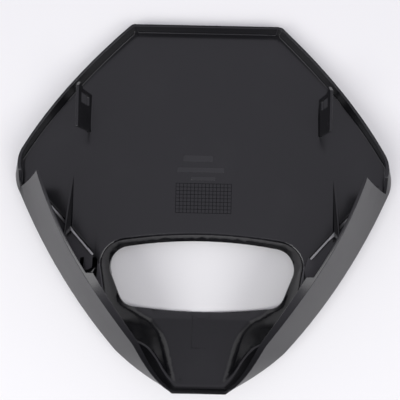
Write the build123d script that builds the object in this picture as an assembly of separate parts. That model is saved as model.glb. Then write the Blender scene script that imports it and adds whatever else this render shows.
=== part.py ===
from build123d import *
from math import sqrt
import os

os.makedirs("parts", exist_ok=True)

# Headlight cowl for a light motorcycle, one moulding, lying on its outer face.
# Sizes in millimetres. X is the cowl's width, Y points to its top edge, Z to its open rear side.

# Wall
wall = 2.2
mouth_round = 2.8

# Side walls: plan corners at height zero, and how far each corner moves for a millimetre of height
top_corner = (59.4, 142.9)
top_corner_lean = (0.05, 0.105)
shoulder = (163.6, 3.0)
shoulder_lean = (-0.48, 0.78)
hull_bend = (79.3, -125.2)
hull_bend_lean = (-0.51, 0.36)
chin_corner = (30.2, -149.0)
chin_corner_lean = (-0.25, 0.07)
diagonal_bulge = 6.3
hull_bulge = 1.9
hull_bulge_lean = 0.19
chin_bulge = 3.4
chin_bulge_lean = -0.06
top_round = 7.0
shoulder_round = 32.0
bend_round = 14.0
chin_round = 5.0

# Front: flat middle field, arched sides, raked so that the top edge and the chin touch the table
rake = 0.091
front_top = 143.1
flat_half = 50.0
side_arch = 450.0

# Rear edge seen from the side
lip_height = 14.0
lip_rise = 0.181
notch = (11.0, 28.0)
notch_run = 13.0
wing_tip = (21.7, 80.0)
wing_edge = ((-22.0, 80.5), (-62.0, 76.0), (-102.0, 61.5), (-152.0, 31.0))
return_turn = 2.2
return_start = -49.0

# Lamp pocket: plan corners of its inner face at height zero, and their lean
pocket_top = (0.0, -31.6)
pocket_top_lean = (0.0, 0.42)
pocket_corner = (80.2, -40.3)
pocket_corner_lean = (0.2, 0.37)
pocket_foot = (67.8, -77.3)
pocket_foot_lean = (0.32, -0.1)
chin_curve = ((55.7, -86.7), (43.0, -92.5), (29.3, -100.0), (17.4, -118.0), (9.6, -145.0), (9.0, -160.0))
chin_curve_lean = ((0.5, -0.35), (0.62, -0.5), (0.68, -0.38), (0.6, -0.15), (0.4, 0.0), (0.4, 0.0))
pocket_corner_round = 19.0
floor_start = (10.0, 11.0)
floor_tip = (-92.0, -0.2)
floor_end = (-160.0, 35.5)
floor_tip_round = 14.0
floor_round = 12.0

# Shallow groove down the chin floor, with a deeper lens-shaped seat under the window
groove_half = 7.0
groove_start = -88.0
groove_end = -116.0
groove_depth = 0.5
seat_half = 8.7
seat_middle = -91.0
seat_drop = 3.6
seat_depth = 1.1

# Upper lugs: upright blades with a tall slot and a nose at the rear top corner
lug_x = 93.2
lug_low = 56.4
lug_high = 87.3
lug_rear = 50.0
lug_nose = (91.0, 44.5)
lug_nose_root = 37.0
lug_thick = 2.3
lug_lean = 2.0
slot_low = 76.5
slot_width = 8.0
slot_front = 17.0
slot_height = 25.0

# Lower fins: triangles that rise towards the chin
fin_x = 105.2
fin_high = 22.0
fin_low = -27.5
fin_foot = 16.0
fin_rear = 41.5
fin_thick = 2.0

# Diagonal ribs between panel and cheek
rib_start = (138.0, 16.9)
rib_end = (86.0, -41.7)
rib_thick = 1.6
rib_height = 4.0

# Recess in the left cheek around a tongue, with a floor that slopes down to the lamp pocket
cheek_in = 83.4
cheek_high = -44.0
cheek_width = 13.2
cheek_length = 18.5
cheek_round = 1.5
cheek_rear = 34.0
cheek_floor = 11.0
cheek_slope = 30.0
gusset_reach = 7.0
tongue_out = 94.0
tongue_width = 7.0
tongue_length = 9.5

# Lamp window
window_corner = (80.6, -39.6)
window_top = -30.4
window_foot = (64.8, -84.2)
window_bottom = -89.5
window_corner_round = 17.0
window_foot_round = 14.0

# Reach of the cutting and lofting bodies, a margin past the cowl
margin = 10.0
facing_front = -0.8
walls_height = wing_tip[1] + margin
front_half = shoulder[0] + margin
front_start = front_top + margin
front_length = front_start - floor_end[0] + margin
pocket_low = floor_tip[1] - wall
pocket_high = floor_end[1] + margin
chin_end = chin_curve[-2][1]


def at_height(point, lean, height):
    """Place of a wall corner at one height."""
    return (point[0] + lean[0] * height, point[1] + lean[1] * height)


def bulged(start, end, bulge):
    """Arc between two plan points that stands out by a bulge to the right of its direction."""
    dx = end[0] - start[0]
    dy = end[1] - start[1]
    length = sqrt(dx * dx + dy * dy)
    middle_x = (start[0] + end[0]) / 2 + dy / length * bulge
    middle_y = (start[1] + end[1]) / 2 - dx / length * bulge
    return ThreePointArc(start, (middle_x, middle_y), end)


def rounded(face, corner, radius):
    """Rounds a plan corner and its mirror image."""
    for side in (1, -1):
        vertex = face.vertices().sort_by_distance((side * corner[0], corner[1], 0))[0]
        face = fillet(vertex, radius)
    return face


def moved_in(before, corner, after, inset):
    """Place of a plan corner once both of its sides have moved in."""
    first = (Vector(*corner) - Vector(*before)).normalized()
    second = (Vector(*after) - Vector(*corner)).normalized()
    inward = Vector(-first.Y - second.Y, first.X + second.X)
    moved = Vector(*corner) + inward * (inset / (1 + first.dot(second)))
    return (moved.X, moved.Y)


def wall_outline(height, inset):
    """Plan outline of the side walls at one height, moved in by an inset."""
    top = at_height(top_corner, top_corner_lean, height)
    side = at_height(shoulder, shoulder_lean, height)
    bend = at_height(hull_bend, hull_bend_lean, height)
    chin = at_height(chin_corner, chin_corner_lean, height)
    plan = [(0, chin[1]), chin, bend, side, top, (0, top[1])]
    inner = [moved_in(*plan[i : i + 3], inset) for i in range(4)]
    half = Line((0, inner[0][1]), inner[0])
    half += bulged(inner[0], inner[1], chin_bulge + chin_bulge_lean * height)
    half += bulged(inner[1], inner[2], hull_bulge + hull_bulge_lean * height)
    half += bulged(inner[2], inner[3], diagonal_bulge)
    half += Line(inner[3], (0, inner[3][1]))
    face = make_face(half + mirror(half, Plane.YZ))
    for corner, radius in zip(inner, (chin_round, bend_round, shoulder_round, top_round)):
        face = rounded(face, corner, radius - min(inset, radius / 2))
    return Pos(0, 0, height) * face


def side_walls(inset):
    """Everything inside the side walls."""
    return loft([wall_outline(0, inset), wall_outline(walls_height, inset)], ruled=True)


def turned_in(body, side):
    """Body turned about one chin corner, so that its wall on that side moves in."""
    pivot = (side * chin_corner[0], chin_corner[1], 0)
    return Pos(pivot) * Rot(0, 0, side * return_turn) * Pos(-pivot[0], -pivot[1], 0) * body


def front_block(lift):
    """Everything behind the arched front field."""
    reach = front_half - flat_half
    rise = side_arch - sqrt(side_arch * side_arch - reach * reach)
    line = Line((-flat_half, 0), (flat_half, 0))
    line += TangentArc((flat_half, 0), (front_half, rise), tangent=(1, 0))
    line += TangentArc((-flat_half, 0), (-front_half, rise), tangent=(-1, 0))
    line += Line((front_half, rise), (front_half, 2 * walls_height))
    line += Line((-front_half, rise), (-front_half, 2 * walls_height))
    line += Line((front_half, 2 * walls_height), (-front_half, 2 * walls_height))
    start = (0, front_start, lift + rake * (front_top - front_start))
    section = Plane(start, (1, 0, 0), (0, -1, rake)) * make_face(line)
    return extrude(section, front_length, dir=(0, -1, rake))


def pocket_outline(height, grow):
    """Plan outline of the lamp pocket and chin trough at one height."""
    top = at_height(pocket_top, pocket_top_lean, height)
    corner = at_height(pocket_corner, pocket_corner_lean, height)
    foot = at_height(pocket_foot, pocket_foot_lean, height)
    curve = [at_height(p, n, height) for p, n in zip(chin_curve, chin_curve_lean)]
    top = (0, top[1] + grow)
    corner = (corner[0] + grow, corner[1] + grow)
    foot = (foot[0] + grow, foot[1])
    curve = [(p[0] + grow, p[1]) for p in curve]
    along = (foot[0] - corner[0], foot[1] - corner[1])
    half = Line(corner, foot) + Spline(foot, *curve, tangents=(along, (0, -1)))
    half += Line(curve[-1], (0, curve[-1][1]))
    left_corner = (-corner[0], corner[1])
    face = make_face(half + mirror(half, Plane.YZ) + ThreePointArc(left_corner, top, corner))
    face = rounded(face, corner, pocket_corner_round)
    return Pos(0, 0, height) * face


def pocket(grow, lift):
    """Lamp pocket and chin trough, cut off below by the window field and the chin floor."""
    body = loft([pocket_outline(pocket_low, grow), pocket_outline(pocket_high, grow)], ruled=True)
    high = (floor_start[0], 2 * walls_height)
    far = (floor_end[0], 2 * walls_height)
    side = make_face(Polyline(floor_start, floor_tip, floor_end, far, high, close=True))
    tip = side.vertices().sort_by_distance((floor_tip[0], floor_tip[1], 0))[0]
    side = fillet(tip, floor_tip_round)
    room = extrude(Plane.YZ * side, 2 * front_half, both=True)
    body = body & (Pos(0, 0, lift) * room)
    rims = [edge for edge in front_rims(body) if edge.center().Y > chin_end]
    return fillet(rims, floor_round + grow)


def rear_room(lower):
    """Everything in front of the rear edge, seen from the side, lowered by a step."""
    below = -margin - lower
    lip_low = notch[0] + notch_run
    lip_start = (front_start, lip_height - lower + lip_rise * (front_top - front_start))
    lip_end = (lip_low, lip_height - lower + lip_rise * (front_top - lip_low))
    edge = [(p[0], p[1] - lower) for p in (wing_tip,) + wing_edge]
    line = Polyline(lip_start, lip_end, (notch[0], notch[1] - lower), edge[0])
    line += Spline(*edge)
    line += Polyline(edge[-1], (edge[-1][0], below), (front_start, below), lip_start)
    return extrude(Plane.YZ * make_face(line), 2 * front_half, both=True)


def lamp_window():
    """Through cut for the lamp."""
    corner_left = (-window_corner[0], window_corner[1])
    foot_left = (-window_foot[0], window_foot[1])
    line = ThreePointArc(corner_left, (0, window_top), window_corner)
    line += Line(window_corner, window_foot)
    line += ThreePointArc(window_foot, (0, window_bottom), foot_left)
    line += Line(foot_left, corner_left)
    face = rounded(make_face(line), window_corner, window_corner_round)
    face = rounded(face, window_foot, window_foot_round)
    return extrude(Pos(0, 0, pocket_low) * face, pocket_high - pocket_low)


def groove():
    """Cut for the chin groove and the seat under the window."""
    strip = Pos(0, (groove_start + groove_end) / 2) * Rectangle(2 * groove_half, groove_start - groove_end)
    seat_top = seat_middle + seat_drop
    seat = ThreePointArc((-seat_half, seat_middle), (0, seat_middle - seat_drop), (seat_half, seat_middle))
    seat += Polyline((seat_half, seat_middle), (seat_half, seat_top), (-seat_half, seat_top))
    seat += Line((-seat_half, seat_top), (-seat_half, seat_middle))
    cut = extrude(strip, pocket_high) & pocket(0, wall - groove_depth)
    return cut + (extrude(make_face(seat), pocket_high) & pocket(0, wall - seat_depth))


def blade(profile, place, thick, lean):
    """Upright plate across the width, from a side profile, rooted half a wall deep."""
    plate = extrude(Plane.YZ * make_face(profile), thick / 2, both=True)
    plate = Pos(place, 0, 0) * Rot(0, lean, 0) * plate
    return plate & front_block(wall / 2)


def lug():
    """Right upper lug."""
    outline = Polyline(
        (lug_low, 0),
        (lug_low, lug_rear),
        (lug_high, lug_rear),
        lug_nose,
        (lug_high, lug_nose_root),
        (lug_high, 0),
        close=True,
    )
    middle = Pos(lug_x, slot_low + slot_width / 2, slot_front + slot_height / 2)
    slot = middle * Box(6 * lug_thick, slot_width, slot_height)
    return blade(outline, lug_x, lug_thick, lug_lean) - slot


def fin():
    """Right lower fin."""
    outline = Polyline((fin_high, 0), (fin_high, fin_foot), (fin_low, fin_rear), (fin_low, 0), close=True)
    return blade(outline, fin_x, fin_thick, 0)


def rib():
    """Right diagonal rib."""
    path = Line(rib_start, rib_end)
    strip = extrude(trace(path, rib_thick), walls_height)
    return (strip & front_block(wall / 2) & side_walls(wall / 2)) - front_block(wall + rib_height)


def cheek_recess(grow, lift, reach=0):
    """Room of the recess in the left cheek, above its sloping floor, with a reach to the lamp pocket."""
    place = Pos(-cheek_in - (cheek_width - reach) / 2, cheek_high - cheek_length / 2)
    outline = RectangleRounded(cheek_width + reach + 2 * grow, cheek_length + 2 * grow, cheek_round + grow)
    room = extrude(place * outline, cheek_rear)
    above = Pos(0, 0, 2 * cheek_rear) * Box(4 * cheek_rear, 4 * cheek_rear, 4 * cheek_rear)
    floor = Pos(-cheek_in, cheek_high, cheek_floor + lift) * Rot(0, cheek_slope, 0)
    return room & (floor * above)


def tongue():
    """Tongue that stands in the recess of the left cheek."""
    end = cheek_high - tongue_length + tongue_width / 2
    middle = -tongue_out + tongue_width / 2
    plan = Pos(middle, (cheek_high + end) / 2) * Rectangle(tongue_width, cheek_high - end)
    plan += Pos(middle, end) * Circle(tongue_width / 2)
    return extrude(plan, cheek_rear)


def front_rims(body, above=False):
    """Edges where the faces that look to the front end, or only those of the field above the lamp."""
    front = [face for face in body.faces() if face.normal_at().Z < facing_front]
    front = [face for face in front if face.bounding_box().max.Y > 0 or not above]
    return [edge for edge in body.edges() if sum(edge in face.edges() for face in front) == 1]


def rounded_mouth(body):
    """Rounds the edge where the front field turns into the lamp pocket."""
    edges = [edge for edge in front_rims(body, above=True) if chin_end < edge.center().Y < 0]
    edges = [edge for edge in edges if abs(edge.center().X) < front_half - margin]
    return fillet(edges, mouth_round)


# Shell: the outer body, with the gusset under the cheek, less the room inside it
walls = side_walls(0)
room = side_walls(wall)
gusset = cheek_recess(wall, -wall, gusset_reach)
outer = walls & (front_block(0) + pocket(wall, 0) + gusset)
front_room = rounded_mouth(front_block(wall) + pocket(0, wall))
rear = rear_room(0)
cowl = (outer - (room & front_room)) & rear

# Turned-in rear edge of the lower half, which widens from the chin to its upper end
lower_half = Pos(0, return_start - front_half, 0) * Box(4 * front_half, 2 * front_half, 4 * walls_height)
rim = (room - (turned_in(room, 1) & turned_in(room, -1))) & (rear - rear_room(wall)) & lower_half
cowl += rim & front_room

# Window, recess and groove
cowl -= lamp_window() + (cheek_recess(0, 0) - tongue()) + groove()

# Lugs, fins and ribs
right = lug() + fin() + rib()
cowl += right + mirror(right, Plane.YZ)

# Set on the table, in the middle of its own length and width
box = cowl.bounding_box()
cowl = Pos(-box.center().X, -box.center().Y, -box.min.Z) * cowl
cowl.label = "cowl"
export_step(cowl, "parts/cowl.step")
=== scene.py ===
"""Looks of a headlight cowl for a light motorcycle: one black moulding, seen from its open rear side."""

import logging
from dataclasses import dataclass
from enum import Enum
from math import radians
from typing import Any, Optional, Union

import bpy
from mathutils import Euler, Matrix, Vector


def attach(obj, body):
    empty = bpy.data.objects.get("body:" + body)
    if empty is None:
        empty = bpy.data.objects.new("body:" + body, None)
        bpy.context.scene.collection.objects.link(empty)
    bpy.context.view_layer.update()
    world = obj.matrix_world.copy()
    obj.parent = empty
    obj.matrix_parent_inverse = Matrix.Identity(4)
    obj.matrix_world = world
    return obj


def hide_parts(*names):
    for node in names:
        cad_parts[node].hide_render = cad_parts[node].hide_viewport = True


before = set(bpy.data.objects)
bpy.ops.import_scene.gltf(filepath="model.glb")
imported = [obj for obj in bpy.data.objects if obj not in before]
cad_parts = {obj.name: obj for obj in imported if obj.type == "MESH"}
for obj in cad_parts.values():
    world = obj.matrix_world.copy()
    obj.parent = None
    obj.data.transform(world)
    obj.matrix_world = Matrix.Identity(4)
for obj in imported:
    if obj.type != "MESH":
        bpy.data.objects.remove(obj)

LOG = logging.getLogger("headlight_cowl")
BODY = "root"
NODE = "cowl"
UP = Vector((0.0, 0.0, 1.0))
METRE = 1.0
# A distance in metres that clears the cowl, from which a look at it starts.
CLEAR = 0.5
# The middle of a noise texture's values.
NOISE_MIDDLE = 0.5
# Places of a Mix node's colour sockets, whose names its other kinds share.
MIX_FACTOR, MIX_FIRST, MIX_SECOND, MIX_RESULT = 0, 6, 7, 2
Pair = tuple[float, float]
Triple = tuple[float, float, float]
Look = tuple[Vector, Vector]


class Finish(Enum):
    """The finishes of the moulding, in the order of the shell's material slots."""

    SMOOTH_INSIDE = 0
    SATIN_OUTSIDE = 1
    # Light grey rib tops: a painted highlight.
    RUBBED_RIB = 2
    # Lip wall, lighter than the inner plastic: painted light.
    DUSTY_LIP = 3
    # Cheek floor between rib and wing, lighter than the inner plastic: painted light.
    DUSTY_CHEEK = 4


class Value:
    """One socket of a node tree, on which Python's operators add Math nodes."""

    def __init__(self, tree: "NodeTree", socket: bpy.types.NodeSocket) -> None:
        """Wraps a socket.

        Args:
            tree: The node tree that the socket is in.
            socket: An output socket.
        """
        self.tree = tree
        self.socket = socket

    def _math(self, operation: str, first: "Number", second: "Number") -> "Value":
        """Adds one Math node.

        Args:
            operation: The node's operation.
            first: The first number or socket.
            second: The second number or socket.

        Returns:
            The node's value.
        """
        return self.tree.node("ShaderNodeMath", {"operation": operation}, {0: first, 1: second})

    def __add__(self, other: "Number") -> "Value":
        """This value plus another."""
        return self._math("ADD", self, other)

    def __radd__(self, other: "Number") -> "Value":
        """Another value plus this one."""
        return self._math("ADD", other, self)

    def __sub__(self, other: "Number") -> "Value":
        """This value less another."""
        return self._math("SUBTRACT", self, other)

    def __rsub__(self, other: "Number") -> "Value":
        """Another value less this one."""
        return self._math("SUBTRACT", other, self)

    def __mul__(self, other: "Number") -> "Value":
        """This value times another."""
        return self._math("MULTIPLY", self, other)

    def __rmul__(self, other: "Number") -> "Value":
        """Another value times this one."""
        return self._math("MULTIPLY", other, self)


Number = Union[Value, float]


class NodeTree:
    """The nodes of a material or of the surround, all of which come from one method."""

    def __init__(self, tree: bpy.types.NodeTree) -> None:
        """Empties a node tree.

        Args:
            tree: The tree of the material or of the surround.
        """
        self.tree = tree
        tree.nodes.clear()

    def node(
        self,
        kind: str,
        settings: dict[str, Any],
        inputs: dict[Union[int, str], Any],
        output: Union[int, str, None] = 0,
    ) -> Optional[Value]:
        """Adds a node.

        Args:
            kind: The node's type.
            settings: Values of its own settings, set first. "stops" gives a ramp's places and greys.
            inputs: Numbers, colours or links of its sockets, by name or place.
            output: The socket that is given back, or None for a node that ends the tree.

        Returns:
            That socket's value, or None.
        """
        made = self.tree.nodes.new(kind)
        for name, setting in settings.items():
            if name == "stops":
                for element, (place, grey) in zip(made.color_ramp.elements, setting):
                    element.position = place
                    element.color = (grey, grey, grey, 1)
            else:
                setattr(made, name, setting)
        for key, value in inputs.items():
            if isinstance(value, Value):
                self.tree.links.new(value.socket, made.inputs[key])
            else:
                made.inputs[key].default_value = value
        return None if output is None else Value(self, made.outputs[output])


@dataclass(frozen=True)
class PlasticFinish:
    """Black plastic as one half of the mould leaves it, with the marks of use.

    Attributes:
        name: The material's name.
        colour: Colour of the plain plastic; the rib, lip and cheek finishes lighten it as painted light.
        dust: Colour where it is rubbed or dusty.
        roughness: Middle of its roughness.
        roughness_spread: How far slow clouds move the roughness.
        grain_scale, grain_detail, grain_roughness: Fineness of the moulded grain.
        grain_depth: Depth of the grain, in metres.
        cloud_scale, cloud_detail: Fineness of the slow clouds.
        drag_scale, drag_detail, drag_stretch: Fineness of the drag lines, drawn out along the height.
        drag_depth: Depth of the drag lines, in metres.
        relief_strength: How much of the relief shows.
        scuff_share: How strong the rubbed patches are.
        scuff_roughness: How much rougher a rubbed patch is.
        patch_scale, patch_detail, patch_stops: Fineness and edges of the rubbed patches.
        scratch_turn, scratch_stretch: Direction of the scratches, in radians, and how they are drawn out.
        scratch_scale, scratch_detail, scratch_stops: Fineness and edges of the scratches.
        scratch_share: How much of a patch the scratches break up.
        refraction: Index of refraction.
    """

    name: str
    colour: Triple
    dust: Triple
    roughness: float
    roughness_spread: float
    grain_scale: float
    grain_depth: float = 0.00001
    grain_detail: float = 3.0
    grain_roughness: float = 0.6
    cloud_scale: float = 22.0
    cloud_detail: float = 4.0
    drag_scale: float = 700.0
    drag_detail: float = 2.0
    drag_stretch: Triple = (1.0, 1.0, 0.03)
    drag_depth: float = 0.0
    relief_strength: float = 0.5
    scuff_share: float = 0.25
    scuff_roughness: float = 0.2
    patch_scale: float = 26.0
    patch_detail: float = 3.0
    patch_stops: tuple[Pair, Pair] = ((0.55, 0.0), (0.75, 1.0))
    scratch_turn: float = 0.6
    scratch_stretch: Triple = (1.0, 14.0, 1.0)
    scratch_scale: float = 190.0
    scratch_detail: float = 2.0
    scratch_stops: tuple[Pair, Pair] = ((0.5, 0.0), (0.7, 1.0))
    scratch_share: float = 0.75
    refraction: float = 1.5

    def material(self) -> bpy.types.Material:
        """Makes the finish.

        Returns:
            The material.
        """
        made = bpy.data.materials.new(self.name)
        made.use_nodes = True
        tree = NodeTree(made.node_tree)
        place = tree.node("ShaderNodeTexCoord", {}, {}, "Object")
        scuffs = self._scuffs(tree, place) * self.scuff_share
        cloud = self._noise(tree, place, self.cloud_scale, self.cloud_detail)
        colour = tree.node(
            "ShaderNodeMix",
            {"data_type": "RGBA"},
            {MIX_FACTOR: scuffs, MIX_FIRST: (*self.colour, 1), MIX_SECOND: (*self.dust, 1)},
            MIX_RESULT,
        )
        clouded = self.roughness + (cloud - NOISE_MIDDLE) * self.roughness_spread
        surface = tree.node(
            "ShaderNodeBsdfPrincipled",
            {},
            {
                "Base Color": colour,
                "Roughness": clouded + scuffs * self.scuff_roughness,
                "Normal": self._relief(tree, place),
                "IOR": self.refraction,
            },
        )
        tree.node("ShaderNodeOutputMaterial", {}, {"Surface": surface}, None)
        return made

    def _noise(self, tree: NodeTree, place: Value, scale: float, detail: float, **more: float) -> Value:
        """Adds a noise texture.

        Args:
            tree: The material's nodes.
            place: The coordinates that it reads.
            scale: Its scale.
            detail: Its detail.
            more: Values of its other sockets.

        Returns:
            The noise, from 0 to 1.
        """
        inputs = {"Vector": place, "Scale": scale, "Detail": detail, **more}
        return tree.node("ShaderNodeTexNoise", {}, inputs)

    def _scuffs(self, tree: NodeTree, place: Value) -> Value:
        """Faint rubbed patches, broken up by fine scratches.

        Args:
            tree: The material's nodes.
            place: Object coordinates.

        Returns:
            A mask from 0, clean, to 1, rubbed.
        """
        patch = self._noise(tree, place, self.patch_scale, self.patch_detail)
        turned = tree.node(
            "ShaderNodeMapping",
            {},
            {"Vector": place, "Rotation": (0, 0, self.scratch_turn), "Scale": self.scratch_stretch},
        )
        line = self._noise(tree, turned, self.scratch_scale, self.scratch_detail)
        patches = tree.node("ShaderNodeValToRGB", {"stops": self.patch_stops}, {0: patch})
        lines = tree.node("ShaderNodeValToRGB", {"stops": self.scratch_stops}, {0: line})
        return patches * (1 - self.scratch_share + lines * self.scratch_share)

    def _relief(self, tree: NodeTree, place: Value) -> Value:
        """Moulded grain, and on steep walls the drag lines of the draw.

        Args:
            tree: The material's nodes.
            place: Object coordinates.

        Returns:
            The surface's normal.
        """
        grain = self._noise(
            tree, place, self.grain_scale, self.grain_detail, Roughness=self.grain_roughness
        )
        drawn = tree.node("ShaderNodeMapping", {}, {"Vector": place, "Scale": self.drag_stretch})
        drag = self._noise(tree, drawn, self.drag_scale, self.drag_detail)
        height = grain * self.grain_depth + drag * self.drag_depth
        return tree.node(
            "ShaderNodeBump", {}, {"Strength": self.relief_strength, "Distance": METRE, "Height": height}
        )


FINISHES = {
    Finish.SMOOTH_INSIDE: PlasticFinish(
        name="smooth_black",
        colour=(0.0045, 0.0045, 0.0055),
        dust=(0.02, 0.02, 0.022),
        roughness=0.17,
        roughness_spread=0.06,
        grain_scale=1500.0,
        drag_depth=0.00002,
    ),
    Finish.SATIN_OUTSIDE: PlasticFinish(
        name="satin_black",
        colour=(0.006, 0.006, 0.0075),
        dust=(0.02, 0.02, 0.022),
        roughness=0.42,
        roughness_spread=0.06,
        grain_scale=900.0,
        cloud_scale=18.0,
    ),
    # Light grey rib tops: this colour paints the bright highlight line along each rib, with scuffs on it.
    Finish.RUBBED_RIB: PlasticFinish(
        name="rubbed_rib",
        colour=(0.4, 0.4, 0.41),
        dust=(0.5, 0.5, 0.51),
        roughness=0.3,
        roughness_spread=0.2,
        grain_scale=900.0,
    ),
    # The lip's wall: its colour is lighter than the inner plastic so that the wall looks as lit as the
    # panel, painted light, with scuffs on it.
    Finish.DUSTY_LIP: PlasticFinish(
        name="dusty_black",
        colour=(0.017, 0.017, 0.019),
        dust=(0.04, 0.04, 0.042),
        roughness=0.24,
        roughness_spread=0.1,
        grain_scale=1500.0,
    ),
    # The cheeks' floor: its colour is much lighter than the inner plastic, painting over the shade that the
    # wings give it, with scuffs on it.
    Finish.DUSTY_CHEEK: PlasticFinish(
        name="dusty_cheek",
        colour=(0.045, 0.044, 0.049),
        dust=(0.06, 0.06, 0.064),
        roughness=0.3,
        roughness_spread=0.1,
        grain_scale=1500.0,
    ),
}


def make_active(piece: bpy.types.Object) -> None:
    """Selects one object alone.

    Args:
        piece: The object that the next operators act on.
    """
    bpy.ops.object.select_all(action="DESELECT")
    piece.select_set(True)
    bpy.context.view_layer.objects.active = piece


def add_modifier(piece: bpy.types.Object, kind: str, **settings: Any) -> None:
    """Adds a modifier and applies it.

    Args:
        piece: The object that it shapes.
        kind: The modifier's type.
        settings: Values of its own settings.
    """
    make_active(piece)
    bpy.ops.object.modifier_add(type=kind)
    added = piece.modifiers[-1]
    for name, setting in settings.items():
        setattr(added, name, setting)
    bpy.ops.object.modifier_apply(modifier=added.name)


@dataclass
class CowlShell:
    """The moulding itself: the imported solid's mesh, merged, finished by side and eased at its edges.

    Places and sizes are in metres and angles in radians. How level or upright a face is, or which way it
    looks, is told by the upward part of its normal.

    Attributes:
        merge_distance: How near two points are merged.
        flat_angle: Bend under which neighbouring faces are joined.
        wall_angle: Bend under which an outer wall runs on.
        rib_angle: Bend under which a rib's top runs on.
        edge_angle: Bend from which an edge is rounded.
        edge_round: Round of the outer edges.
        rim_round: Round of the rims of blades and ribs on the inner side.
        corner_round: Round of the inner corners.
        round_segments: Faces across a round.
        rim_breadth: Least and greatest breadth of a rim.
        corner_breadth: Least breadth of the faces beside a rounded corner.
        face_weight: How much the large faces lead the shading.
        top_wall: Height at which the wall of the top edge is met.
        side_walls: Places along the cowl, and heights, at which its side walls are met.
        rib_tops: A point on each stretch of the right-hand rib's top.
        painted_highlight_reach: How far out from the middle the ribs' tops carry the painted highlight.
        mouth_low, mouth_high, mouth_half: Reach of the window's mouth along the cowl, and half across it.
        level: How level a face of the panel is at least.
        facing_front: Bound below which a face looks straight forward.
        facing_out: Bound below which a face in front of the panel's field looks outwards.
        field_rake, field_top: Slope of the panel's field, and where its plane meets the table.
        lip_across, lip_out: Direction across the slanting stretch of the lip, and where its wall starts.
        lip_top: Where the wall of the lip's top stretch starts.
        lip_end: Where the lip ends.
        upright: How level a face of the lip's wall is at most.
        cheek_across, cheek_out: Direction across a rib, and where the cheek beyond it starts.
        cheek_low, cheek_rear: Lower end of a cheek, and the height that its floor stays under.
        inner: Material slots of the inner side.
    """

    merge_distance: float = 1e-6
    flat_angle: float = radians(0.3)
    wall_angle: float = radians(28)
    rib_angle: float = radians(14)
    edge_angle: float = radians(32)
    edge_round: float = 0.00035
    rim_round: float = 0.0007
    corner_round: float = 0.0008
    round_segments: int = 3
    rim_breadth: Pair = (0.0018, 0.0027)
    corner_breadth: float = 0.0012
    face_weight: int = 90
    top_wall: float = 0.006
    side_walls: tuple[Pair, ...] = ((-0.05, 0.05), (0.09, 0.012), (-0.12, 0.035))
    rib_tops: tuple[Triple, ...] = ((0.0930, -0.0324, 0.0243), (0.1130, -0.0099, 0.0246))
    painted_highlight_reach: float = 0.122
    mouth_low: float = -0.08
    mouth_high: float = -0.02
    mouth_half: float = 0.083
    level: float = 0.93
    facing_front: float = -0.6
    facing_out: float = -0.1
    field_rake: float = 0.091
    field_top: float = 0.145
    lip_across: Pair = (0.797, 0.604)
    lip_out: float = 0.130
    lip_top: float = 0.132
    lip_end: float = 0.02
    upright: float = 0.3
    cheek_across: Pair = (0.748, -0.664)
    cheek_out: float = 0.0922
    cheek_low: float = -0.075
    cheek_rear: float = 0.04
    inner: tuple[int, ...] = (
        Finish.SMOOTH_INSIDE.value,
        Finish.DUSTY_LIP.value,
        Finish.DUSTY_CHEEK.value,
    )

    def build(self, finishes: list[bpy.types.Material]) -> bpy.types.Object:
        """Makes the shell.

        Args:
            finishes: Its materials, in the order of Finish.

        Returns:
            The finished object.
        """
        piece = bpy.data.objects.new("cowl_shell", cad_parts[NODE].data.copy())
        bpy.context.scene.collection.objects.link(piece)
        make_active(piece)
        bpy.ops.mesh.customdata_custom_splitnormals_clear()
        bpy.ops.object.mode_set(mode="EDIT")
        bpy.ops.mesh.select_all(action="SELECT")
        bpy.ops.mesh.remove_doubles(threshold=self.merge_distance)
        bpy.ops.object.mode_set(mode="OBJECT")
        piece.data.materials.clear()
        for finish in finishes:
            piece.data.materials.append(finish)
        self.finish_sides(piece)
        self.ease_edges(piece)
        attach(piece, BODY)
        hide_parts(NODE)
        return piece

    def finish_sides(self, piece: bpy.types.Object) -> None:
        """Gives every face its finish.

        Args:
            piece: The merged shell.
        """
        self.assign(piece, self.wall_looks(), self.wall_angle, Finish.SATIN_OUTSIDE)
        # The ribs' tops get the light grey of the painted highlight.
        self.assign(piece, self.rib_looks(), self.rib_angle, Finish.RUBBED_RIB)
        for face in piece.data.polygons:
            face.material_index = self.face_finish(face).value

    def assign(self, piece: bpy.types.Object, looks: list[Look], bend: float, finish: Finish) -> None:
        """Gives a finish to the faces that some looks meet, and to those that run on from them.

        Args:
            piece: The merged shell.
            looks: Start and direction of each look.
            bend: The largest angle, in radians, over which a face runs on.
            finish: The finish.
        """
        self.deselect_faces(piece)
        for start, towards in looks:
            found, _, _, index = piece.ray_cast(start, towards)
            if found:
                piece.data.polygons[index].select = True
        bpy.ops.object.mode_set(mode="EDIT")
        bpy.ops.mesh.faces_select_linked_flat(sharpness=bend)
        piece.active_material_index = finish.value
        bpy.ops.object.material_slot_assign()
        bpy.ops.object.mode_set(mode="OBJECT")

    def deselect_faces(self, piece: bpy.types.Object) -> None:
        """Leaves no face selected, so that faces can be selected in code.

        Args:
            piece: The shell.
        """
        make_active(piece)
        bpy.ops.object.mode_set(mode="EDIT")
        bpy.ops.mesh.select_mode(type="FACE")
        bpy.ops.mesh.select_all(action="DESELECT")
        bpy.ops.object.mode_set(mode="OBJECT")

    def wall_looks(self) -> list[Look]:
        """Straight looks at the outer side walls, from outside.

        Returns:
            Start and direction of each look.
        """
        looks = [(Vector((0, CLEAR, self.top_wall)), Vector((0, -1, 0)))]
        for sign in (1, -1):
            for y, z in self.side_walls:
                looks.append((Vector((CLEAR * sign, y, z)), Vector((-sign, 0, 0))))
        return looks

    def rib_looks(self) -> list[Look]:
        """Looks at the tops of the ribs, from above the middle of the cowl.

        Returns:
            Start and direction of each look.
        """
        start = UP * CLEAR
        tops = [Vector((sign * x, y, z)) for x, y, z in self.rib_tops for sign in (1, -1)]
        return [(start, top - start) for top in tops]

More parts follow.
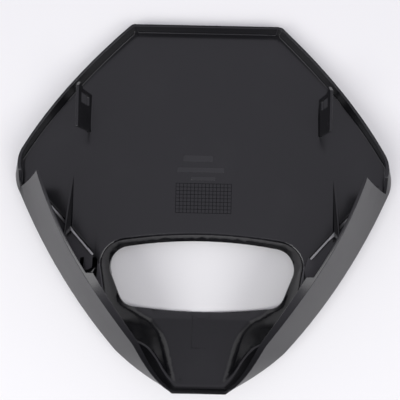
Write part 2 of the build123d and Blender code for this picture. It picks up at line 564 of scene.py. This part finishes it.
    def face_finish(self, face: bpy.types.MeshPolygon) -> Finish:
        """Settles the finish of one face.

        Args:
            face: A face, with the finish that the looks gave it.

        Returns:
            The finish that it gets.
        """
        given = Finish(face.material_index)
        if self.on_outside(face):
            return Finish.SATIN_OUTSIDE
        # Further out, the ribs keep the plain inner finish, without the painted highlight.
        if given is Finish.RUBBED_RIB and abs(face.center.x) > self.painted_highlight_reach:
            return Finish.SMOOTH_INSIDE
        # The lip's wall gets the lighter colour of painted light.
        if given is Finish.SMOOTH_INSIDE and self.on_lip(face):
            return Finish.DUSTY_LIP
        # The cheek's floor gets the lighter colour of painted light.
        if given is Finish.SMOOTH_INSIDE and self.in_cheek(face):
            return Finish.DUSTY_CHEEK
        return given

    def on_outside(self, face: bpy.types.MeshPolygon) -> bool:
        """Tells whether a face looks forward, or outwards from in front of the panel's field.

        Args:
            face: A face.

        Returns:
            True on the outer side.
        """
        field = self.field_rake * (self.field_top - face.center.y)
        outwards = face.normal.z < self.facing_out and face.center.z < field
        return outwards or face.normal.z < self.facing_front

    def on_lip(self, face: bpy.types.MeshPolygon) -> bool:
        """Tells whether a face stands in the lip round the upper panel.

        Args:
            face: A face of the inner side.

        Returns:
            True on the lip's wall.
        """
        slanting = self.reach(face, self.lip_across) > self.lip_out and face.center.y > self.lip_end
        return (slanting or face.center.y > self.lip_top) and abs(face.normal.z) < self.upright

    def in_cheek(self, face: bpy.types.MeshPolygon) -> bool:
        """Tells whether a face lies in the corner between a rib and its wing.

        Args:
            face: A face of the inner side.

        Returns:
            True on the cheek's floor.
        """
        beyond = self.reach(face, self.cheek_across) > self.cheek_out and face.center.y > self.cheek_low
        return beyond and face.center.z < self.cheek_rear and face.normal.z > self.level

    def in_mouth(self, face: bpy.types.MeshPolygon) -> bool:
        """Tells whether a face bends down into the window.

        Args:
            face: A face of the inner side.

        Returns:
            True in the round of the window's mouth.
        """
        along = self.mouth_low < face.center.y < self.mouth_high
        return along and abs(face.center.x) < self.mouth_half and face.normal.z < self.level

    def reach(self, face: bpy.types.MeshPolygon, across: Pair) -> float:
        """Measures how far out a face of either half lies.

        Args:
            face: A face.
            across: The direction that is measured along, in plan, on the right-hand half.

        Returns:
            The distance of its middle from the origin, along that direction.
        """
        return abs(face.center.x) * across[0] + face.center.y * across[1]

    def ease_edges(self, piece: bpy.types.Object) -> None:
        """Rounds the edges and inner corners, and lets the large faces lead the shading.

        Args:
            piece: The shell with its finishes.
        """
        self.deselect_faces(piece)
        for face in piece.data.polygons:
            face.select = face.material_index in self.inner and not self.in_mouth(face)
        bpy.ops.object.mode_set(mode="EDIT")
        bpy.ops.mesh.dissolve_limited(angle_limit=self.flat_angle, delimit={"MATERIAL"})
        bpy.ops.object.mode_set(mode="OBJECT")
        self.weigh_edges(piece)
        add_modifier(
            piece,
            "BEVEL",
            width=self.corner_round,
            segments=self.round_segments,
            limit_method="WEIGHT",
            use_clamp_overlap=False,
        )
        make_active(piece)
        bpy.ops.object.shade_smooth()
        add_modifier(piece, "WEIGHTED_NORMAL", weight=self.face_weight, keep_sharp=True)

    def weigh_edges(self, piece: bpy.types.Object) -> None:
        """Weighs every edge that bends by its round, and marks those without a round as sharp.

        Args:
            piece: The shell, with its flat faces joined.
        """
        mesh = piece.data
        sides: dict[tuple[int, int], list[int]] = {}
        for face in mesh.polygons:
            for key in face.edge_keys:
                sides.setdefault(key, []).append(face.index)
        weights = mesh.attributes.new("bevel_weight_edge", "FLOAT", "EDGE")
        for edge in mesh.edges:
            first, second = (mesh.polygons[i] for i in sides[tuple(sorted(edge.vertices))])
            if first.normal.angle(second.normal, 0.0) < self.edge_angle:
                continue
            width = self.round_width(mesh, first, second)
            weights.data[edge.index].value = width / self.corner_round
            edge.use_edge_sharp = width == 0

    def round_width(
        self, mesh: bpy.types.Mesh, first: bpy.types.MeshPolygon, second: bpy.types.MeshPolygon
    ) -> float:
        """Settles the round between two faces.

        Args:
            mesh: The mesh.
            first: One face.
            second: Its neighbour.

        Returns:
            The round's width, or zero where the edge stays sharp.
        """
        breadth = min(self.breadth(mesh, face) for face in (first, second))
        inside = all(face.material_index in self.inner for face in (first, second))
        if (second.center - first.center).dot(first.normal) >= 0:
            return self.corner_round if inside and breadth > self.corner_breadth else 0.0
        if inside and self.rim_breadth[0] < breadth < self.rim_breadth[1]:
            return self.rim_round
        return self.edge_round if breadth > self.edge_round else 0.0

    def breadth(self, mesh: bpy.types.Mesh, face: bpy.types.MeshPolygon) -> float:
        """Measures the breadth of a face.

        Args:
            mesh: The mesh.
            face: One of its faces.

        Returns:
            Twice its area over its outline, which is the breadth of a long strip, in metres.
        """
        corners = [mesh.vertices[i].co for i in face.vertices]
        outline = sum((a - b).length for a, b in zip(corners, corners[1:] + corners[:1]))
        return 2 * face.area / outline


@dataclass
class PanelMarks:
    """Unlettered marks of the mould on the inner face: a ruled grid, blank pads and the gate's stub.

    Places and sizes are in metres, across the panel and then along it.

    Attributes:
        grid_middle, grid_size, grid_cells: Place, size and cells of the ruled grid.
        line_width, line_height: Width and height of its lines.
        pads: Middle and size of each blank pad.
        pad_name: Start of the pads' names.
        pad_height: How far a pad stands out, and how far it is sunk.
        pad_corner, pad_corner_segments: Part of a pad's width that rounds its corners, and their faces.
        pad_round, pad_round_segments: Round of a pad's edges, and the faces across it.
        pad_finish: Finish of the pads.
        gate_place, gate_radius, gate_sides: Place, radius and faces round the gate's stub.
        gate_height: How far it stands out, and how far it is sunk.
        gate_round, gate_round_segments: Round of its edges, and the faces across it.
        gate_smooth: Angle in radians under which it is shaded smooth.
    """

    grid_middle: Pair = (0.0002, 0.0061)
    grid_size: Pair = (0.0447, 0.0237)
    grid_cells: tuple[int, int] = (15, 8)
    line_width: float = 0.00035
    line_height: float = 0.00012
    pads: tuple[tuple[float, float, float, float], ...] = (
        (-0.0047, 0.0383, 0.024, 0.0052),
        (-0.0024, 0.0290, 0.038, 0.0040),
        (-0.0003, 0.0220, 0.020, 0.0030),
    )
    pad_name: str = "blank_pad"
    pad_height: float = 0.0002
    pad_corner: float = 1 / 3
    pad_corner_segments: int = 4
    pad_round: float = 0.0001
    pad_round_segments: int = 2
    pad_finish: PlasticFinish = PlasticFinish(
        name="dull_black",
        colour=(0.010, 0.010, 0.0115),
        dust=(0.03, 0.03, 0.032),
        roughness=0.3,
        roughness_spread=0.1,
        grain_scale=700.0,
        grain_depth=0.00003,
    )
    gate_place: Pair = (-0.0149, -0.1370)
    gate_radius: float = 0.0009
    gate_sides: int = 24
    gate_height: float = 0.0006
    gate_round: float = 0.0003
    gate_round_segments: int = 3
    gate_smooth: float = radians(40)

    def build(self, shell: bpy.types.Object, finish: bpy.types.Material) -> list[bpy.types.Object]:
        """Makes the marks and sets them on the shell.

        Args:
            shell: The moulding that carries them.
            finish: The shell's inner finish.

        Returns:
            The finished objects.
        """
        dull = self.pad_finish.material()
        made = [self.build_grid()]
        made += [self.build_pad(f"{self.pad_name}_{i}", *pad) for i, pad in enumerate(self.pads, 1)]
        made.append(self.build_gate())
        for piece in made:
            self.lay_on(piece, shell)
            piece.data.materials.append(dull if piece.name.startswith(self.pad_name) else finish)
            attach(piece, BODY)
        return made

    def build_grid(self) -> bpy.types.Object:
        """Makes the ruled grid of raised lines, flat, at height zero.

        Returns:
            The grid.
        """
        bpy.ops.object.select_all(action="DESELECT")
        bpy.ops.mesh.primitive_grid_add(
            x_subdivisions=self.grid_cells[0],
            y_subdivisions=self.grid_cells[1],
            size=METRE,
            enter_editmode=True,
        )
        bpy.ops.transform.resize(value=(*self.grid_size, 1))
        bpy.ops.transform.translate(value=(*self.grid_middle, 0))
        bpy.ops.mesh.wireframe(
            use_replace=True, use_boundary=True, thickness=self.line_width, offset=self.line_height
        )
        bpy.ops.object.mode_set(mode="OBJECT")
        piece = bpy.context.object
        piece.name = "mould_grid"
        return piece

    def build_pad(self, name: str, x: float, y: float, length: float, width: float) -> bpy.types.Object:
        """Makes one blank pad, flat, with its middle at height zero.

        Args:
            name: The piece's name.
            x: Its middle across the panel.
            y: Its middle along the panel.
            length: Its size across the panel.
            width: Its size along the panel.

        Returns:
            The pad.
        """
        bpy.ops.object.select_all(action="DESELECT")
        bpy.ops.mesh.primitive_plane_add(size=METRE, enter_editmode=True)
        bpy.ops.transform.resize(value=(length, width, 1))
        bpy.ops.transform.translate(value=(x, y, -self.pad_height))
        bpy.ops.mesh.bevel(
            offset=width * self.pad_corner, segments=self.pad_corner_segments, affect="VERTICES"
        )
        bpy.ops.mesh.select_all(action="SELECT")
        bpy.ops.mesh.extrude_region_move(TRANSFORM_OT_translate={"value": (0, 0, 2 * self.pad_height)})
        bpy.ops.mesh.select_all(action="SELECT")
        bpy.ops.mesh.normals_make_consistent(inside=False)
        bpy.ops.object.mode_set(mode="OBJECT")
        piece = bpy.context.object
        piece.name = name
        add_modifier(
            piece, "BEVEL", width=self.pad_round, segments=self.pad_round_segments, limit_method="ANGLE"
        )
        return piece

    def build_gate(self) -> bpy.types.Object:
        """Makes the short stub where the gate was cut off, upright, with its middle at height zero.

        Returns:
            The stub.
        """
        bpy.ops.object.select_all(action="DESELECT")
        bpy.ops.mesh.primitive_cylinder_add(
            vertices=self.gate_sides, radius=self.gate_radius, depth=2 * self.gate_height
        )
        piece = bpy.context.object
        piece.name = "gate_stub"
        bpy.ops.object.mode_set(mode="EDIT")
        bpy.ops.mesh.select_all(action="SELECT")
        bpy.ops.transform.translate(value=(*self.gate_place, 0))
        bpy.ops.object.mode_set(mode="OBJECT")
        add_modifier(
            piece, "BEVEL", width=self.gate_round, segments=self.gate_round_segments, limit_method="ANGLE"
        )
        make_active(piece)
        bpy.ops.object.shade_smooth_by_angle(angle=self.gate_smooth)
        return piece

    def lay_on(self, piece: bpy.types.Object, shell: bpy.types.Object) -> None:
        """Moves every point of a flat piece up by the height of the shell's inner face there.

        Args:
            piece: The piece, at height zero.
            shell: The moulding.
        """
        for vertex in piece.data.vertices:
            start = Vector((vertex.co.x, vertex.co.y, CLEAR))
            found, place, _, _ = shell.ray_cast(start, -UP)
            if found:
                vertex.co.z += place.z


@dataclass(frozen=True)
class SoftBox:
    """A square soft box that looks at the cowl.

    Attributes:
        name: The light's name.
        turn: Its direction, in degrees anticlockwise from the cowl's top edge.
        elevation: Its elevation, in degrees.
        size: Length of its sides, in metres.
        power: Its power, in watts.
    """

    name: str
    turn: float
    elevation: float
    size: float
    power: float


@dataclass
class Studio:
    """White table, soft light and the camera straight above.

    Attributes:
        camera_place, camera_roll: Place of the camera, in metres, and its roll, in radians.
        sensor_width, near: The camera's sensor, in millimetres, and how near it sees, in metres.
        picture_width: Width of the picture, in pixels.
        focal_pixels, shift_pixels: Focal length and sideways shift, in those pixels.
        floor_size, floor_colour, floor_roughness: Size, in metres, and looks of the table.
        sky, sky_colour: Strength overhead and colour of the surround.
        sky_stops: Heights on the surround, from 0 at the horizon to 1 overhead, and shares of the strength.
        backdrop: Strength of the surround where the camera sees it.
        boxes, box_distance: The soft boxes, and how far from the origin they stand, in metres.
    """

    camera_place: Triple = (0.010, 0.005, 0.500)
    camera_roll: float = radians(1.2)
    sensor_width: float = 36.0
    near: float = 0.01
    picture_width: float = 400.0
    focal_pixels: float = 602.4
    shift_pixels: float = -15.6
    floor_size: float = 6.0
    floor_colour: Triple = (0.84, 0.84, 0.83)
    floor_roughness: float = 0.6
    sky: float = 0.78
    sky_colour: Triple = (0.98, 0.955, 1.07)
    sky_stops: tuple[Pair, Pair] = ((0.3, 0.16), (0.88, 1.0))
    backdrop: float = 0.75
    boxes: tuple[SoftBox, ...] = (
        SoftBox("left_box", turn=128.0, elevation=56.0, size=0.9, power=10.0),
        SoftBox("right_box", turn=-128.0, elevation=56.0, size=0.9, power=8.0),
        SoftBox("left_strip", turn=31.0, elevation=32.0, size=0.7, power=1.1),
        SoftBox("right_strip", turn=-31.0, elevation=32.0, size=0.7, power=1.3),
    )
    box_distance: float = 1.6

    def build(self) -> None:
        """Makes the table, the light and the camera."""
        self.build_floor()
        self.build_surround()
        for box in self.boxes:
            self.build_box(box)
        self.build_camera()

    def build_floor(self) -> None:
        """Makes the table top."""
        bpy.ops.object.select_all(action="DESELECT")
        bpy.ops.mesh.primitive_plane_add(size=self.floor_size)
        floor = bpy.context.object
        floor.name = "floor"
        made = bpy.data.materials.new("pale_floor")
        made.use_nodes = True
        tree = NodeTree(made.node_tree)
        looks = {"Base Color": (*self.floor_colour, 1), "Roughness": self.floor_roughness}
        surface = tree.node("ShaderNodeBsdfPrincipled", {}, looks)
        tree.node("ShaderNodeOutputMaterial", {}, {"Surface": surface}, None)
        floor.data.materials.append(made)

    def build_surround(self) -> None:
        """Makes the surround: dim at the horizon for the light that it gives, and even to the camera."""
        world = bpy.data.worlds.new("surround")
        bpy.context.scene.world = world
        world.use_nodes = True
        tree = NodeTree(world.node_tree)
        direction = tree.node("ShaderNodeTexCoord", {}, {}, "Generated")
        height = tree.node("ShaderNodeSeparateXYZ", {}, {"Vector": direction}, "Z")
        glow = tree.node("ShaderNodeValToRGB", {"stops": self.sky_stops}, {0: height})
        seen = tree.node("ShaderNodeLightPath", {}, {}, "Is Camera Ray")
        strength = glow * self.sky * (1 - seen) + seen * self.backdrop
        looks = {"Color": (*self.sky_colour, 1), "Strength": strength}
        surface = tree.node("ShaderNodeBackground", {}, looks)
        tree.node("ShaderNodeOutputWorld", {}, {"Surface": surface}, None)

    def build_box(self, box: SoftBox) -> None:
        """Makes one soft box that looks at the cowl.

        Args:
            box: The soft box.
        """
        towards = Vector((0, 1, 0))
        towards.rotate(Euler((radians(box.elevation), 0, radians(box.turn))))
        bpy.ops.object.select_all(action="DESELECT")
        bpy.ops.object.light_add(type="AREA", location=towards * self.box_distance)
        lamp = bpy.context.object
        lamp.name = box.name
        lamp.rotation_euler = towards.to_track_quat("Z", "Y").to_euler()
        lamp.data.shape = "SQUARE"
        lamp.data.size = box.size
        lamp.data.energy = box.power

    def build_camera(self) -> None:
        """Makes the camera, looks through it and shows the tones as they are."""
        bpy.ops.object.select_all(action="DESELECT")
        bpy.ops.object.camera_add(location=self.camera_place, rotation=(0, 0, self.camera_roll))
        camera = bpy.context.object
        camera.data.sensor_width = self.sensor_width
        camera.data.lens = self.sensor_width * self.focal_pixels / self.picture_width
        camera.data.shift_x = self.shift_pixels / self.picture_width
        camera.data.clip_start = self.near
        bpy.context.scene.camera = camera
        bpy.context.scene.view_settings.view_transform = "Standard"


def main() -> None:
    """Builds every piece."""
    logging.basicConfig(level=logging.INFO, format="%(name)s: %(message)s")
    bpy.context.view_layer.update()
    Studio().build()
    finishes = [FINISHES[side].material() for side in Finish]
    shell = CowlShell().build(finishes)
    marks = PanelMarks().build(shell, finishes[Finish.SMOOTH_INSIDE.value])
    for piece in (shell, *marks):
        LOG.info("%s has %d faces", piece.name, len(piece.data.polygons))


if __name__ == "__main__":
    main()
